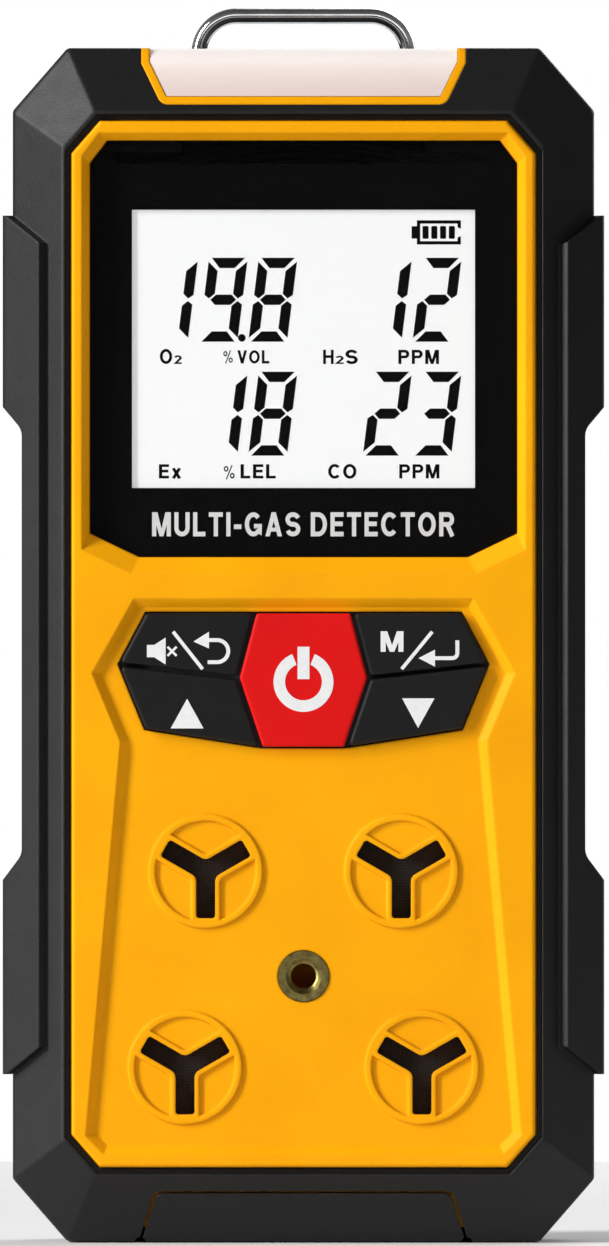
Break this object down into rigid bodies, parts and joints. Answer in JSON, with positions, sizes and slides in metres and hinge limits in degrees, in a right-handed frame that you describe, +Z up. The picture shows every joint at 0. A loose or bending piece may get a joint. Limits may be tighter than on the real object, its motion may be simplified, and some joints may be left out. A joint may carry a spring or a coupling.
{
  "type": "portable gas detector",
  "caption": "Pocket-size multi-gas detector: yellow case in a black bumper, display, keypad, gas inlets, alarm lamp, wire bail and spring belt clip.",
  "frame": {"origin": "centre of the case's flat bottom", "axes": "+Z up the case towards the alarm lamp and bail; -Y is the front with the display; +X is to the right of someone facing the display"},
  "size_m": [0.066, 0.041, 0.1359],
  "materials": {
    "yellow_shell": "satin moulded",
    "black_bumper": "matte overmould",
    "back_shell": "fine texture",
    "soft_black": "matte",
    "label": "printed polyester",
    "pane": "polished",
    "ink": "screen printed",
    "lcd": "display glass",
    "backlight": "light guide",
    "frame_white": "moulded",
    "key_black": "satin",
    "key_red": "satin",
    "silicone": "translucent grey",
    "plunger": "moulded",
    "switch": "moulded",
    "board": "solder mask over glass epoxy",
    "chip": "moulded epoxy",
    "steel": "zinc plated",
    "sensor_can": "moulded",
    "filter": "fine dust mesh",
    "brass": "knurled",
    "lamp": "frosted",
    "led": "clear epoxy",
    "cell_wrap": "shrink wrap",
    "foam": "open cell",
    "lead": "insulated wire",
    "buzzer_black": "moulded",
    "bail_chrome": "polished",
    "clip_steel": "brushed"
  },
  "bodies": {
    "case": {"front_cover": "yellow_shell", "front_bumper": "black_bumper", "rear_cover": "back_shell", "rear_bumper": "black_bumper", "case_gasket": "soft_black", "rating_label": "label", "window": "pane", "window_mask": "ink", "lcd_glass": "lcd", "lcd_backlight": "backlight", "lcd_frame": "frame_white", "key_membrane": "silicone", "key_switches": "switch", "main_board": "board", "board_chips": "chip", "board_header": "switch", "sensor_board": "board", "board_screws": "steel", "sensor_holder": "back_shell", "dust_filters": "filter", "sensor_gaskets": "soft_black", "pump_insert": "brass", "lamp_lens": "lamp", "lamp_board": "board", "alarm_leds": "led", "usb_socket": "steel", "usb_board": "board", "battery": "cell_wrap", "battery_pad": "foam", "battery_connector": "frame_white", "battery_leads": "lead", "buzzer": "buzzer_black", "vibration_motor": "steel", "motor_pad": "foam", "clip_bracket": "clip_steel", "clip_pin": "steel", "clip_spring": "steel", "clip_screws": "steel", "case_screws": "steel", "oxygen_sensor": "sensor_can", "hydrogen_sulfide_sensor": "sensor_can", "combustible_gas_sensor": "sensor_can", "carbon_monoxide_sensor": "sensor_can"},
    "bail": {"bail": "bail_chrome"},
    "port_cover": {"port_cover": "black_bumper"},
    "clip_lever": {"clip_lever": "clip_steel"},
    "motor_weight": {"vibration_weight": "steel"},
    "power_key_body": {"power_key": "key_red", "power_key_plunger": "plunger"},
    "mute_key_body": {"mute_key": "key_black", "mute_key_plunger": "plunger"},
    "menu_key_body": {"menu_key": "key_black", "menu_key_plunger": "plunger"},
    "up_key_body": {"up_key": "key_black", "up_key_plunger": "plunger"},
    "down_key_body": {"down_key": "key_black", "down_key_plunger": "plunger"}
  },
  "joints": [
    {"name": "bail_pivot", "type": "hinge", "parent": "case", "child": "bail", "pos_m": [0, 0.01572, 0.126], "axis": [-1, 0, 0], "range_deg": [-34, 165]},
    {"name": "port_cover_hinge", "type": "hinge", "parent": "case", "child": "port_cover", "pos_m": [0, 0.00223, 0.00077], "axis": [1, 0, 0], "range_deg": [0, 95]},
    {"name": "belt_clip_pivot", "type": "hinge", "parent": "case", "child": "clip_lever", "pos_m": [0, 0.0212, 0.088], "axis": [1, 0, 0], "range_deg": [0, 18], "stiffness_Nm_per_rad": 0.05, "springref_deg": -28.65, "deforming": ["clip_spring"]},
    {"name": "power_key_press", "type": "slide", "parent": "case", "child": "power_key_body", "axis": [0, 1, 0], "range_m": [0, 0.0004], "stiffness_N_per_m": 500, "deforming": ["key_membrane"]},
    {"name": "mute_key_press", "type": "slide", "parent": "case", "child": "mute_key_body", "axis": [0, 1, 0], "range_m": [0, 0.0004], "stiffness_N_per_m": 500, "deforming": ["key_membrane"]},
    {"name": "menu_key_press", "type": "slide", "parent": "case", "child": "menu_key_body", "axis": [0, 1, 0], "range_m": [0, 0.0004], "stiffness_N_per_m": 500, "deforming": ["key_membrane"]},
    {"name": "up_key_press", "type": "slide", "parent": "case", "child": "up_key_body", "axis": [0, 1, 0], "range_m": [0, 0.0004], "stiffness_N_per_m": 500, "deforming": ["key_membrane"]},
    {"name": "down_key_press", "type": "slide", "parent": "case", "child": "down_key_body", "axis": [0, 1, 0], "range_m": [0, 0.0004], "stiffness_N_per_m": 500, "deforming": ["key_membrane"]},
    {"name": "motor_weight_spin", "type": "hinge", "parent": "case", "child": "motor_weight", "pos_m": [-0.0102, -0.0016, 0.1132], "axis": [1, 0, 0], "continuous": true}
  ]
}
